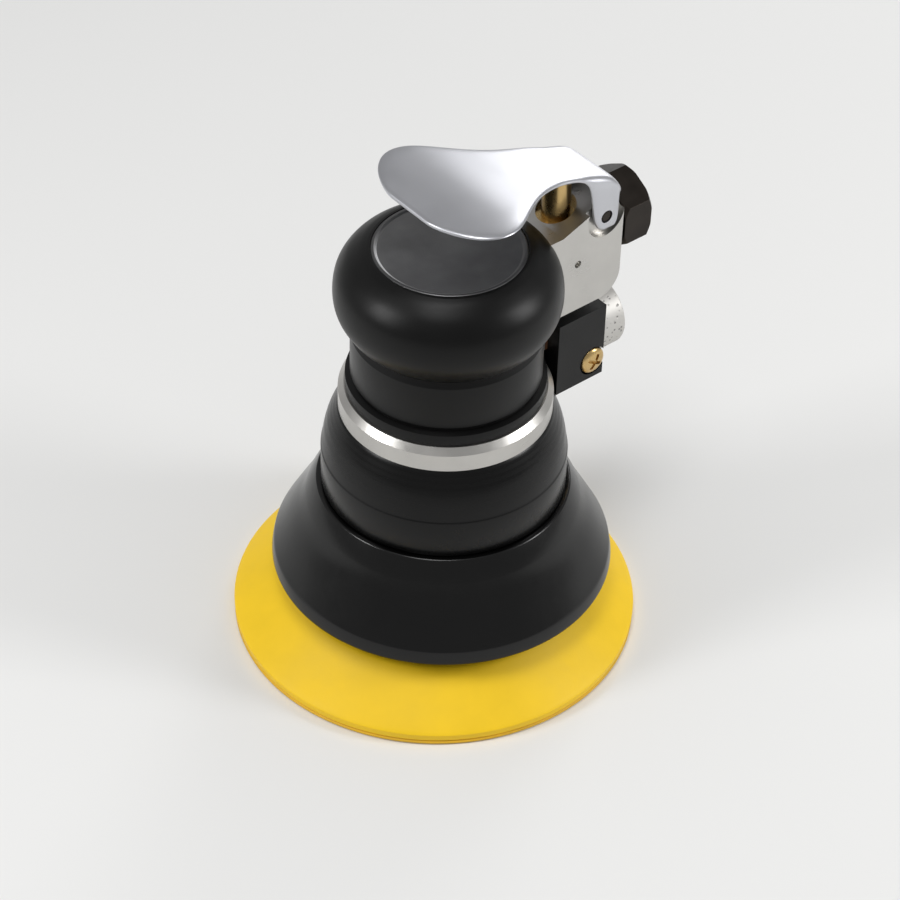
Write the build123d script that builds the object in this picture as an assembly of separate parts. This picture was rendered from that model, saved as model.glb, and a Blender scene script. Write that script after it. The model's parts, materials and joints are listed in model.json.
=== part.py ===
from build123d import *
import math
import os

# Compressed-air random-orbital palm sander, in millimetres.
# The motor axis is the Z axis, Z = 0 is the sanding face, and the inlet arm points along +X.

# Sizes that can be set by themselves
FIT = 0.05                      # clearance of pieces that are assembled together
RUN = 0.3                       # gap between pieces that turn past each other

PAD_RADIUS = 62.5
PAD_TOP_RADIUS = 46.0
PAD_EDGE = 2.8                  # height of the foam's upright edge
PAD_HEIGHT = 16.0
FACE_THICKNESS = 1.2
PLATE_RADIUS = 36.0
PLATE_THICKNESS = 3.0
RIVET_RADIUS = 1.6
RIVET_CIRCLE = 24.0
RIVET_COUNT = 6
STUD_RADIUS = 3.97              # 5/16 inch thread

ORBIT_OFFSET = 2.5              # half of the 5 mm orbit
WASHER_THICKNESS = 1.0
FLANGE_HEIGHT = 7.0             # spindle's spanner flange
FLANGE_RADIUS = 13.0
SPINDLE_BEARING_BORE = 6.0
SPINDLE_BEARING_RADIUS = 14.0
SPINDLE_BEARING_WIDTH = 8.0
BALANCER_WALL = 3.5
BALANCER_WEB = 7.0
WEIGHT_RADIUS = 31.0
WEIGHT_HEIGHT = 19.0

SHROUD_LIP_RADIUS = 52.5
SHROUD_GAP = 5.5                # from the pad's top to the shroud's lip
SHROUD_HEIGHT = 30.0
SHROUD_WALL = 2.3

LINER_RADIUS = 22.5             # outside of the motor's cylinder
LINER_BORE = 18.2
LINER_OFFSET = 1.7
CYLINDER_LENGTH = 34.0
ROTOR_RADIUS = 16.3
VANE_COUNT = 5
VANE_THICKNESS = 1.8
VANE_DEPTH = 7.6
MOTOR_SHAFT = 6.0
TAIL_SHAFT = 4.0
LOWER_BEARING_RADIUS = 14.0
LOWER_BEARING_WIDTH = 8.0
UPPER_BEARING_RADIUS = 11.0
UPPER_BEARING_WIDTH = 7.0
ENDPLATE_WEB = 4.0
DOWEL_RADIUS = 1.25
LOCK_RING_HEIGHT = 8.0

BARREL_WALL = 2.9
RING_WIDTH = 6.5                # polished ring's step beyond the barrel
RING_HEIGHT = 7.6
HOUSING_HEIGHT = 28.6           # exposed height of the lower housing
HOUSING_STEP = 5.2              # lower housing's radius beyond the ring
ROOF = 2.4
CAP_RADIUS = 22.5
CAP_THICKNESS = 1.6
GRIP_NECK = 2.9                 # grip's thickness at the neck
GRIP_BULGE = 7.9                # grip's thickness at its widest

BLOCK_HALF_WIDTH = 11.0
BLOCK_HEIGHT = 29.0
BLOCK_DROP = 6.0                # from the top of the cap to the top of the block
PLUNGER_RADIUS = 4.25
SLEEVE_RADIUS = 6.0
PLUNGER_REACH = 6.6             # from the grip to the plunger's axis
PIN_REACH = 10.0                # from the plunger's axis to the hinge pin
PIN_RADIUS = 1.6
BLOCK_LENGTH_PAST_PIN = 7.0
INLET_BORE = 5.7                # wall radius of the 1/4 inch inlet thread
HEX_ACROSS_FLATS = 22.0
HEX_LENGTH = 10.4
LEVER_THICKNESS = 2.4
LEVER_REACH = 65.4              # from the pin to the blade's tip
LEVER_HALF_WIDTH = 26.8
NECK_HALF_WIDTH = 11.4
EAR_THICKNESS = 2.2

MUFFLER_BORDER = 0.5             # exhaust block's half width beyond the muffler
EXHAUST_LENGTH = 19.5
EXHAUST_HEIGHT = 26.0
MUFFLER_RADIUS = 11.5
MUFFLER_NECK = 5.0
MUFFLER_LENGTH = 9.0
EXHAUST_SCREW_RADIUS = 1.9
BLOCK_RISE = 5.0                # how far the block's top rises towards the pin

# Heights, stacked from the sanding face upwards
PLATE_LOW = PAD_HEIGHT - PLATE_THICKNESS
SPINDLE_LOW = PAD_HEIGHT + WASHER_THICKNESS
FLANGE_TOP = SPINDLE_LOW + FLANGE_HEIGHT
BALANCER_LOW = FLANGE_TOP + 1.0
BEARING_LOW = BALANCER_LOW + 2.6
BEARING_TOP = BEARING_LOW + 2 * SPINDLE_BEARING_WIDTH
CAVITY_TOP = BEARING_TOP + 5.4
BALANCER_TOP = CAVITY_TOP + BALANCER_WEB
SHROUD_LOW = PAD_HEIGHT + SHROUD_GAP
SHROUD_TOP = SHROUD_LOW + SHROUD_HEIGHT
LEDGE = max(BALANCER_TOP, SHROUD_TOP) + 2.0
RING_LOW = SHROUD_TOP + 0.5 + HOUSING_HEIGHT
RING_TOP = RING_LOW + RING_HEIGHT
CYLINDER_LOW = RING_TOP
ENDPLATE_LOW = CYLINDER_LOW - LOWER_BEARING_WIDTH - ENDPLATE_WEB
LOCK_LOW = ENDPLATE_LOW - LOCK_RING_HEIGHT
SKIRT_LOW = LOCK_LOW - 6.0
CYLINDER_TOP = CYLINDER_LOW + CYLINDER_LENGTH
UPPER_WEB_TOP = CYLINDER_TOP + ENDPLATE_WEB - 1.0
ENDPLATE_TOP = UPPER_WEB_TOP + UPPER_BEARING_WIDTH
ROOF_LOW = ENDPLATE_TOP + 1.0
ROOF_TOP = ROOF_LOW + ROOF
CAP_TOP = ROOF_TOP + CAP_THICKNESS

# Radii of the shells, from the cylinder outwards
BARREL_BORE = LINER_RADIUS + FIT
BARREL_RADIUS = BARREL_BORE + BARREL_WALL
SKIRT_RADIUS = BARREL_RADIUS + 1.0
LOCK_RADIUS = BARREL_RADIUS - 1.0
RING_RADIUS = BARREL_RADIUS + RING_WIDTH
HOUSING_RADIUS = RING_RADIUS + HOUSING_STEP
SPIGOT_RADIUS = HOUSING_RADIUS - 1.6
SPIGOT_BORE = SPIGOT_RADIUS - 2.6
SCREW_CIRCLE = SKIRT_RADIUS + 3.3
GRIP_INSIDE = BARREL_RADIUS + FIT
NECK_RADIUS = BARREL_RADIUS + GRIP_NECK
GRIP_RADIUS = BARREL_RADIUS + GRIP_BULGE

# Places along the arm
BLOCK_TOP = CAP_TOP - BLOCK_DROP
BLOCK_LOW = BLOCK_TOP - BLOCK_HEIGHT
PLUNGER_X = GRIP_RADIUS + PLUNGER_REACH
PIN_X = PLUNGER_X + PIN_REACH
PIN_Z = BLOCK_TOP + 1.0
BLOCK_END = PIN_X + BLOCK_LENGTH_PAST_PIN
INLET_Z = BLOCK_TOP - 7.6
HEX_Z = INLET_Z + 0.6
SEAT_Z = BLOCK_TOP - 19.2
CHAMBER_LOW = BLOCK_LOW + 2.0
PASSAGE_Z = (SEAT_Z + CHAMBER_LOW) / 2
PLUNGER_TOP = PIN_Z + 13.9
EXHAUST_HALF_WIDTH = MUFFLER_RADIUS + MUFFLER_BORDER
EXHAUST_LOW = RING_LOW - 7.4
EXHAUST_TOP = EXHAUST_LOW + EXHAUST_HEIGHT
EXHAUST_X = RING_RADIUS + 0.4
EXHAUST_END = EXHAUST_X + EXHAUST_LENGTH
EXHAUST_PORT_Z = RING_TOP + 5.2
MUFFLER_Z = EXHAUST_TOP - MUFFLER_RADIUS - 1.0
EXHAUST_SCREW_X = EXHAUST_END - 4.2
EXHAUST_SCREW_Z = EXHAUST_LOW + 6.5


def disc(radius, low, high, x=0.0, y=0.0):
    """Upright cylinder between two heights."""
    return Pos(x, y, (low + high) / 2) * Cylinder(radius, high - low)


def ring(inner, outer, low, high, x=0.0, y=0.0):
    """Upright tube between two heights."""
    return disc(outer, low, high, x, y) - disc(inner, low - 1, high + 1, x, y)


def block(x_low, x_high, half_width, low, high):
    """Box that is centred across the arm."""
    place = Pos((x_low + x_high) / 2, 0, (low + high) / 2)
    return place * Box(x_high - x_low, 2 * half_width, high - low)


def along_arm(radius, x_low, x_high, height, y=0.0):
    """Cylinder whose axis runs along the arm."""
    return Pos((x_low + x_high) / 2, y, height) * Rot(0, 90, 0) * Cylinder(radius, x_high - x_low)


def across_arm(radius, half_width, x, height, y=0.0):
    """Cylinder whose axis runs across the arm."""
    return Pos(x, y, height) * Rot(90, 0, 0) * Cylinder(radius, 2 * half_width)


def section(start, *steps):
    """Closed face in the XZ plane. A step is a point, or an arc's (middle, end)."""
    edges = []
    here = start
    for step in steps + (start,):
        if isinstance(step[0], tuple):
            middle, end = step
            edges.append(ThreePointArc(*[(x, 0, z) for x, z in (here, middle, end)]))
        else:
            end = step
            edges.append(Line((here[0], 0, here[1]), (end[0], 0, end[1])))
        here = end
    return make_face(edges)


def turned(start, *steps):
    """Solid of revolution about the motor axis."""
    return revolve(section(start, *steps), Axis.Z, 360)


def slab(face, half_width, y=0.0):
    """Face of the XZ plane, thickened both ways across the arm."""
    return Pos(0, y, 0) * extrude(face, half_width, dir=(0, 1, 0), both=True)


def around(count, start=0.0):
    """Evenly spaced angles in degrees."""
    return [start + 360.0 * index / count for index in range(count)]


def on_circle(radius, angle, x=0.0):
    """Point on a circle about an upright axis."""
    return x + radius * math.cos(math.radians(angle)), radius * math.sin(math.radians(angle))


# Pad, which hangs on the eccentric spindle

def pad_rivets():
    """Rivets that hold the hub plate to the foam."""
    rivets = []
    for angle in around(RIVET_COUNT, 30):
        x, y = on_circle(RIVET_CIRCLE, angle, -ORBIT_OFFSET)
        shank = disc(RIVET_RADIUS, PLATE_LOW - 4, PAD_HEIGHT, x, y)
        head = disc(2 * RIVET_RADIUS, PAD_HEIGHT, PAD_HEIGHT + 0.9, x, y)
        rivets.append(shank + head)
    return Compound(children=rivets)


def pad_stud():
    """Threaded stud that screws up into the spindle."""
    head = disc(2 * STUD_RADIUS, PLATE_LOW - 3, PLATE_LOW, -ORBIT_OFFSET)
    return head + disc(STUD_RADIUS, PLATE_LOW, FLANGE_TOP + 4, -ORBIT_OFFSET)


def pad_plate():
    """Fibreglass hub plate let into the top of the foam."""
    plate = disc(PLATE_RADIUS, PLATE_LOW, PAD_HEIGHT, -ORBIT_OFFSET)
    plate = plate - disc(STUD_RADIUS, PLATE_LOW - 1, PAD_HEIGHT + 1, -ORBIT_OFFSET)
    for angle in around(RIVET_COUNT, 30):
        x, y = on_circle(RIVET_CIRCLE, angle, -ORBIT_OFFSET)
        plate = plate - disc(RIVET_RADIUS, PLATE_LOW - 1, PAD_HEIGHT + 1, x, y)
    return plate


def pad_foam():
    """Cone-edged foam body with seats for the plate, the stud's head and the rivets."""
    edge_top = FACE_THICKNESS + PAD_EDGE
    foam = turned(
        (0, FACE_THICKNESS),
        (PAD_RADIUS, FACE_THICKNESS),
        (PAD_RADIUS, edge_top),
        (PAD_TOP_RADIUS, PAD_HEIGHT),
        (0, PAD_HEIGHT),
    )
    foam = Pos(-ORBIT_OFFSET, 0, 0) * foam
    foam = foam - disc(PLATE_RADIUS, PLATE_LOW, PAD_HEIGHT + 1, -ORBIT_OFFSET)
    foam = foam - disc(2 * STUD_RADIUS, PLATE_LOW - 3, PLATE_LOW + 1, -ORBIT_OFFSET)
    for angle in around(RIVET_COUNT, 30):
        x, y = on_circle(RIVET_CIRCLE, angle, -ORBIT_OFFSET)
        foam = foam - disc(RIVET_RADIUS, PLATE_LOW - 4, PLATE_LOW + 1, x, y)
    return foam


def pad_face():
    """Thin facing that the abrasive disc sticks to."""
    return disc(PAD_RADIUS, 0, FACE_THICKNESS, -ORBIT_OFFSET)


def pad_washer():
    """Fibre washer between the hub plate and the spindle."""
    return ring(STUD_RADIUS + RUN, FLANGE_RADIUS - 2, PAD_HEIGHT, SPINDLE_LOW, -ORBIT_OFFSET)


def pad_spindle():
    """Spindle with two spanner flats and a threaded hole for the stud."""
    flange = disc(FLANGE_RADIUS, SPINDLE_LOW, FLANGE_TOP, -ORBIT_OFFSET)
    flats = Pos(-ORBIT_OFFSET, 0, (SPINDLE_LOW + FLANGE_TOP) / 2)
    flange = flange & (flats * Box(4 * FLANGE_RADIUS, 2 * FLANGE_RADIUS - 4, FLANGE_HEIGHT))
    shoulder = disc(SPINDLE_BEARING_BORE + 2, FLANGE_TOP, BEARING_LOW - FIT, -ORBIT_OFFSET)
    shank_radius = SPINDLE_BEARING_BORE - FIT
    shank = disc(shank_radius, BEARING_LOW - FIT, BEARING_TOP + FIT, -ORBIT_OFFSET)
    spindle = flange + shoulder + shank
    spindle = spindle - disc(STUD_RADIUS + FIT, SPINDLE_LOW - 1, FLANGE_TOP + 5, -ORBIT_OFFSET)
    return spindle - disc(2.5, BEARING_TOP - 10, BEARING_TOP + 1, -ORBIT_OFFSET)


def spindle_washer():
    """Washer that keeps the spindle in its bearings."""
    return ring(2.5, SPINDLE_BEARING_BORE + 1.5, BEARING_TOP + FIT, BEARING_TOP + 1.2, -ORBIT_OFFSET)


def spindle_screw():
    """Button-head screw through the washer into the spindle."""
    low = BEARING_TOP + 1.2
    screw = disc(2.5, BEARING_TOP - 9, low, -ORBIT_OFFSET) + disc(4.5, low, low + 2.8, -ORBIT_OFFSET)
    socket = Pos(-ORBIT_OFFSET, 0, low + 1.3) * extrude(RegularPolygon(1.7, 6), 3)
    return screw - socket


# Eccentric shaft and the pieces that turn with it

def spindle_bearing(low):
    """Ball bearing drawn as its two rings joined by shields."""
    high = low + SPINDLE_BEARING_WIDTH
    return bearing(SPINDLE_BEARING_BORE, SPINDLE_BEARING_RADIUS, low, high, -ORBIT_OFFSET)


def bearing(bore, radius, low, high, x=0.0):
    """Bearing with its shields set in a little from both faces."""
    middle = (bore + radius) / 2
    recess = (radius - bore) / 5
    body = ring(bore, radius, low, high, x)
    body = body - ring(middle - recess, middle + recess, low - 1, low + 0.4, x)
    return body - ring(middle - recess, middle + recess, high - 0.4, high + 1, x)


def retaining_ring():
    """Internal circlip that holds the spindle bearings in their pocket."""
    clip = ring(
        SPINDLE_BEARING_RADIUS - 2.6,
        SPINDLE_BEARING_RADIUS + 0.6,
        BEARING_LOW - 1.5,
        BEARING_LOW,
        -ORBIT_OFFSET,
    )
    gap = Pos(-ORBIT_OFFSET - SPINDLE_BEARING_RADIUS, 0, BEARING_LOW) * Box(8, 7, 4)
    return clip - gap


def eccentric_shaft():
    """Shaft, bearing pocket and counterweight in one piece."""
    pocket_radius = SPINDLE_BEARING_RADIUS + BALANCER_WALL
    body = disc(pocket_radius, BALANCER_LOW, BALANCER_TOP - 1, -ORBIT_OFFSET)
    hub = disc(pocket_radius + 1, CAVITY_TOP, BALANCER_TOP)
    weight_top = BALANCER_TOP - 2
    weight = disc(WEIGHT_RADIUS, weight_top - WEIGHT_HEIGHT, weight_top)
    weight = weight & block(2 * ORBIT_OFFSET, 2 * WEIGHT_RADIUS, 28, 0, BALANCER_TOP)
    body = body + hub + weight
    body = body - disc(SPINDLE_BEARING_RADIUS, BALANCER_LOW - 1, BEARING_TOP, -ORBIT_OFFSET)
    groove = BEARING_LOW - 1.5
    body = body - disc(SPINDLE_BEARING_RADIUS + 0.6, groove, BEARING_LOW, -ORBIT_OFFSET)
    body = body - disc(SPINDLE_BEARING_RADIUS - 4, BEARING_TOP - 1, CAVITY_TOP, -ORBIT_OFFSET)
    shoulder = disc(MOTOR_SHAFT + 1.2, BALANCER_TOP - 1, ENDPLATE_LOW - FIT)
    shaft = disc(MOTOR_SHAFT - FIT, ENDPLATE_LOW - FIT, CYLINDER_TOP)
    tail = disc(TAIL_SHAFT - FIT, CYLINDER_TOP, ENDPLATE_TOP)
    key_slot = Pos(MOTOR_SHAFT, 0, (CYLINDER_LOW + CYLINDER_TOP) / 2) * Box(3, 2.5, 16)
    return body + shoulder + shaft + tail - key_slot


def rotor():
    """Slotted rotor keyed to the shaft."""
    low = CYLINDER_LOW + FIT
    high = CYLINDER_TOP - FIT
    body = ring(MOTOR_SHAFT, ROTOR_RADIUS, low, high)
    key_slot = Pos(MOTOR_SHAFT, 0, (low + high) / 2) * Box(3, 2.5, 16)
    body = body - key_slot
    for angle in around(VANE_COUNT, 36):
        slot = Pos(ROTOR_RADIUS - VANE_DEPTH / 2, 0, (low + high) / 2)
        cutter = Box(VANE_DEPTH + 0.6, VANE_THICKNESS + 2 * FIT, CYLINDER_LENGTH + 2)
        body = body - Rot(0, 0, angle) * slot * cutter
    return body


def vanes():
    """Sliding vanes, drawn fully home in their slots."""
    middle = (CYLINDER_LOW + CYLINDER_TOP) / 2
    vane = Box(VANE_DEPTH, VANE_THICKNESS, CYLINDER_LENGTH - 4 * FIT)
    place = Pos(ROTOR_RADIUS - VANE_DEPTH / 2, 0, middle)
    return Compound(children=[Rot(0, 0, angle) * place * vane for angle in around(VANE_COUNT, 36)])


def rotor_key():
    """Key between the shaft and the rotor."""
    middle = (CYLINDER_LOW + CYLINDER_TOP) / 2
    return Pos(MOTOR_SHAFT, 0, middle) * Box(3 - 2 * FIT, 2.5 - 2 * FIT, 16 - 2 * FIT)


# Motor pieces held in the housing

def dowel_places():
    """Heights of the two dowels, one through each end of the cylinder."""
    return [CYLINDER_LOW, CYLINDER_TOP]


def dowel_x():
    """Middle of the cylinder's thick side."""
    return -(LINER_RADIUS + LINER_BORE - LINER_OFFSET) / 2


def cylinder_dowels():
    """Dowels that line the cylinder up with both end plates."""
    pins = [disc(DOWEL_RADIUS, z - 2.5, z + 2.5, dowel_x()) for z in dowel_places()]
    return Compound(children=pins)


def cut_dowels(body):
    """Holes for the dowels."""
    for z in dowel_places():
        body = body - disc(DOWEL_RADIUS, z - 2.5, z + 2.5, dowel_x())
    return body


def cylinder_liner():
    """Motor cylinder with its bore off centre, an air port and an exhaust slot."""
    body = disc(LINER_RADIUS, CYLINDER_LOW, CYLINDER_TOP)
    body = body - disc(LINER_BORE, CYLINDER_LOW - 1, CYLINDER_TOP + 1, LINER_OFFSET)
    body = body - along_arm(2.6, LINER_BORE - 4, LINER_RADIUS + 2, PASSAGE_Z)
    body = body - along_arm(3.2, LINER_BORE - 4, LINER_RADIUS + 2, EXHAUST_PORT_Z)
    return cut_dowels(body)


def lower_endplate():
    """Front end plate that carries the shaft's main bearing."""
    body = disc(LINER_RADIUS, ENDPLATE_LOW, CYLINDER_LOW)
    body = body - disc(LOWER_BEARING_RADIUS, ENDPLATE_LOW - 1, ENDPLATE_LOW + LOWER_BEARING_WIDTH)
    body = body - disc(MOTOR_SHAFT + RUN, ENDPLATE_LOW, CYLINDER_LOW + 1)
    return cut_dowels(body)


def upper_endplate():
    """Rear end plate that carries the shaft's tail bearing."""
    body = disc(LINER_RADIUS, CYLINDER_TOP, ENDPLATE_TOP)
    body = body - disc(UPPER_BEARING_RADIUS, UPPER_WEB_TOP, ENDPLATE_TOP + 1)
    body = body - disc(TAIL_SHAFT + RUN, CYLINDER_TOP - 1, ENDPLATE_TOP)
    return cut_dowels(body)


def lock_ring():
    """Threaded ring that clamps the motor in the barrel, with four spanner slots."""
    body = ring(LOWER_BEARING_RADIUS - 2, LOCK_RADIUS - FIT, LOCK_LOW, ENDPLATE_LOW)
    for angle in around(4, 45):
        slot = Pos(LOCK_RADIUS, 0, LOCK_LOW) * Box(8, 4, 5)
        body = body - Rot(0, 0, angle) * slot
    return body


def wave_washer():
    """Spring washer over the rear end plate."""
    return ring(UPPER_BEARING_RADIUS + 1, LINER_RADIUS - 1, ENDPLATE_TOP, ROOF_LOW)


# Housing shells

def barrel_turning():
    """Barrel with its roof, polished ring and skirt, before the arm is added."""
    return turned(
        (LOCK_RADIUS, SKIRT_LOW),
        (SKIRT_RADIUS, SKIRT_LOW),
        (SKIRT_RADIUS, RING_LOW),
        (RING_RADIUS, RING_LOW),
        (RING_RADIUS, RING_TOP - 2.0),
        (RING_RADIUS - 1.7, RING_TOP),
        (BARREL_RADIUS, RING_TOP),
        (BARREL_RADIUS, ROOF_TOP),
        (0, ROOF_TOP),
        (0, ROOF_LOW),
        (BARREL_BORE, ROOF_LOW),
        (BARREL_BORE, ENDPLATE_LOW),
        (LOCK_RADIUS, ENDPLATE_LOW),
    )


def arm_outline():
    """Side view of the inlet block, with its lower corner rounded and a boss at the pin."""
    corner = 8.0
    return section(
        (BARREL_RADIUS - 1, BLOCK_LOW),
        (BLOCK_END - corner, BLOCK_LOW),
        (
            (BLOCK_END - corner * 0.29, BLOCK_LOW + corner * 0.29),
            (BLOCK_END, BLOCK_LOW + corner),
        ),
        (BLOCK_END, PIN_Z),
        ((BLOCK_END - 1.4, PIN_Z + 2.6), (PIN_X + 1, PIN_Z + 4.4)),
        (PIN_X - 3, BLOCK_TOP + BLOCK_RISE),
        (GRIP_RADIUS + RUN, BLOCK_TOP),
        (BARREL_RADIUS - 1, BLOCK_TOP),
    )


def motor_housing():
    """Aluminium motor housing with the inlet arm and the exhaust boss."""
    arm = slab(arm_outline(), BLOCK_HALF_WIDTH)
    boss = block(BARREL_RADIUS - 1, EXHAUST_X, 7, RING_TOP, RING_TOP + 10)
    body = barrel_turning() + arm + boss
    for side in (-1, 1):
        recess = across_arm(7.0, EAR_THICKNESS, PIN_X, PIN_Z, side * (BLOCK_HALF_WIDTH + 0.2))
        body = body - recess
    body = body - across_arm(PIN_RADIUS, BLOCK_HALF_WIDTH, PIN_X, PIN_Z)
    body = body - disc(SLEEVE_RADIUS, CHAMBER_LOW, PIN_Z + 20, PLUNGER_X)
    body = body - along_arm(3.2, PLUNGER_X, BLOCK_END, INLET_Z)
    body = body - along_arm(INLET_BORE + 1.5, BLOCK_END - 3, BLOCK_END + 1, HEX_Z)
    body = body - along_arm(2.6, BARREL_BORE - 3, PLUNGER_X, PASSAGE_Z)
    body = body - along_arm(3.2, BARREL_BORE - 3, EXHAUST_X + 1, EXHAUST_PORT_Z)
    pit = across_arm(1.2, 1.5, PLUNGER_X, BLOCK_TOP - 12, -BLOCK_HALF_WIDTH)
    body = body - pit
    for angle in around(3, 60):
        x, y = on_circle(SCREW_CIRCLE, angle)
        body = body - disc(1.6, RING_LOW - 1, RING_LOW + 5, x, y)
    return body


def lower_housing():
    """Black collar below the polished ring, with the spigot that carries the shroud."""
    body = turned(
        (SPIGOT_BORE, SHROUD_TOP - 6),
        (SPIGOT_RADIUS, SHROUD_TOP - 6),
        (SPIGOT_RADIUS, SHROUD_TOP + 0.5),
        (HOUSING_RADIUS, SHROUD_TOP + 0.5),
        (HOUSING_RADIUS, SHROUD_TOP + 13),
        (
            (RING_RADIUS + HOUSING_STEP * 0.62, SHROUD_TOP + 22),
            (RING_RADIUS, RING_LOW),
        ),
        (SKIRT_RADIUS + FIT, RING_LOW),
        (SKIRT_RADIUS + FIT, LEDGE),
        (SPIGOT_BORE, LEDGE),
    )
    body = body - ring(SKIRT_RADIUS - 1, SKIRT_RADIUS + 1.1, SKIRT_LOW + 2, SKIRT_LOW + 3.8)
    for angle in around(3, 60):
        x, y = on_circle(SCREW_CIRCLE, angle)
        body = body - disc(1.6, LEDGE - 1, RING_LOW + 1, x, y)
        body = body - disc(2.7, LEDGE - 1, LEDGE + 3, x, y)
    return body


def housing_screws():
    """Screws that draw the lower housing up to the ring."""
    screws = []
    for angle in around(3, 60):
        x, y = on_circle(SCREW_CIRCLE, angle)
        screws.append(disc(1.6, LEDGE + 3, RING_LOW + 5, x, y) + disc(2.7, LEDGE + 0.4, LEDGE + 3, x, y))
    return Compound(children=screws)


def housing_oring():
    """Seal between the housing's skirt and the lower housing."""
    return ring(SKIRT_RADIUS, SKIRT_RADIUS + 1.1, SKIRT_LOW + 2, SKIRT_LOW + 3.8)


def shroud():
    """Rubber skirt over the counterweight, snapped onto the spigot."""
    crease = SHROUD_TOP - 6.2
    crease_radius = HOUSING_RADIUS + 4.5
    inside = SPIGOT_RADIUS + FIT
    lip = SHROUD_LIP_RADIUS
    return turned(
        (lip - SHROUD_WALL, SHROUD_LOW),
        (lip, SHROUD_LOW),
        (lip - 1.2, SHROUD_LOW + 5.6),
        ((crease_radius + 4.0, (SHROUD_LOW + crease) / 2 + 2.4), (crease_radius, crease)),
        (HOUSING_RADIUS + 1.4, SHROUD_TOP),
        (inside, SHROUD_TOP),
        (inside, SHROUD_TOP - 6),
        (crease_radius - SHROUD_WALL, crease - 1.5),
        (
            (crease_radius + 4.0 - SHROUD_WALL, (SHROUD_LOW + crease) / 2 + 0.6),
            (lip - 1.2 - SHROUD_WALL, SHROUD_LOW + 4.6),
        ),
    )


def palm_grip():
    """Rubber grip with a narrow neck and a full rim, open for the arm and the exhaust."""
    neck_top = RING_TOP + 20
    waist = NECK_RADIUS - 0.9
    rim = RING_TOP + 34.5
    body = turned(
        (GRIP_INSIDE, RING_TOP),
        (RING_RADIUS - 2.2, RING_TOP),
        (RING_RADIUS - 2.2, RING_TOP + 4),
        (NECK_RADIUS - 0.4, RING_TOP + 4.4),
        (NECK_RADIUS - 0.4, RING_TOP + 5.4),
        (NECK_RADIUS, RING_TOP + 5.8),
        (NECK_RADIUS, neck_top),
        (waist, neck_top + 1.5),
        ((waist + 4.2, neck_top + 6.6), (GRIP_RADIUS, rim)),
        ((GRIP_RADIUS - 2.3, CAP_TOP - 5.8), (CAP_RADIUS + 0.3, CAP_TOP)),
        (CAP_RADIUS + FIT, CAP_TOP),
        (CAP_RADIUS + FIT, ROOF_TOP),
        (GRIP_INSIDE, ROOF_TOP),
    )
    half = BLOCK_HALF_WIDTH + FIT
    body = body - block(0, GRIP_RADIUS + 5, half, BLOCK_LOW - FIT, BLOCK_TOP + FIT)
    return body - block(0, RING_RADIUS + 5, 7 + FIT, RING_TOP - 1, RING_TOP + 10 + FIT)


def top_cap():
    """Slightly dished metal disc on top of the housing."""
    return turned(
        (0, ROOF_TOP),
        (CAP_RADIUS, ROOF_TOP),
        (CAP_RADIUS, CAP_TOP),
        (CAP_RADIUS - 1.2, CAP_TOP),
        (CAP_RADIUS - 2.0, CAP_TOP - 0.5),
        (0, CAP_TOP - 0.5),
    )


# Throttle and air inlet

def throttle_sleeve():
    """Brass sleeve that guides the plunger and ends in the valve seat."""
    body = ring(PLUNGER_RADIUS + FIT, SLEEVE_RADIUS, SEAT_Z, BLOCK_TOP, PLUNGER_X)
    return body - along_arm(3.2, PLUNGER_X - 8, PLUNGER_X + 8, INLET_Z)


def throttle_plunger():
    """Plunger with a button on top, a thin neck and the valve's head below the seat."""
    groove = ring(PLUNGER_RADIUS - 0.9, PLUNGER_RADIUS + 1, BLOCK_TOP - 3, BLOCK_TOP - 1.7, PLUNGER_X)
    button = disc(PLUNGER_RADIUS, INLET_Z + 3.4, PLUNGER_TOP, PLUNGER_X)
    button = chamfer(button.edges().group_by(Axis.Z)[-1], 1.0)
    neck = disc(2.2, SEAT_Z - 1, INLET_Z + 4, PLUNGER_X)
    head = disc(PLUNGER_RADIUS + 1, SEAT_Z - 2.6, SEAT_Z - FIT, PLUNGER_X)
    tail = disc(1.8, SEAT_Z - 4.4, SEAT_Z - 2, PLUNGER_X)
    return button + neck + head + tail - groove


def plunger_oring():
    """Seal in the plunger's groove."""
    return ring(PLUNGER_RADIUS - 0.9, PLUNGER_RADIUS, BLOCK_TOP - 3, BLOCK_TOP - 1.7, PLUNGER_X)


def throttle_spring():
    """Coil spring that lifts the plunger."""
    wire = 0.4
    low = CHAMBER_LOW + wire
    height = SEAT_Z - 2.6 - wire - low
    path = Helix(pitch=height / 3.5, height=height, radius=3.3)
    coil = sweep(Plane(path @ 0, z_dir=path % 0) * Circle(wire), path=path)
    return Pos(PLUNGER_X, 0, low) * coil


def lever_pin():
    """Hinge pin across the arm and both lever ears."""
    return across_arm(PIN_RADIUS - FIT, NECK_HALF_WIDTH - 0.3, PIN_X, PIN_Z)


def parallel(points, distance):
    """Points moved sideways from a line of points."""
    moved = []
    for index, (x, z) in enumerate(points):
        before = points[max(index - 1, 0)]
        after = points[min(index + 1, len(points) - 1)]
        run, rise = after[0] - before[0], after[1] - before[1]
        length = math.hypot(run, rise)
        moved.append((x - rise / length * distance, z + run / length * distance))
    return moved


def lever_side():
    """Side view of the lever: a long blade that turns down past the pin."""
    reach = PIN_X
    middle = [
        (reach - LEVER_REACH, PIN_Z + 24.2),
        (reach - 46.0, PIN_Z + 24.2),
        (reach - 24.0, PIN_Z + 20.4),
        (reach - 8.0, PIN_Z + 15.6),
        (reach + 1.5, PIN_Z + 12.6),
        (reach + 5.3, PIN_Z + 8.4),
        (reach + 6.2, PIN_Z + 4.6),
    ]
    upper = [Vector(x, 0, z) for x, z in parallel(middle, LEVER_THICKNESS / 2)]
    lower = [Vector(x, 0, z) for x, z in parallel(middle, -LEVER_THICKNESS / 2)]
    edges = [Spline(*upper), Line(upper[-1], lower[-1]), Spline(*lower), Line(lower[0], upper[0])]
    return make_face(edges)


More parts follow.
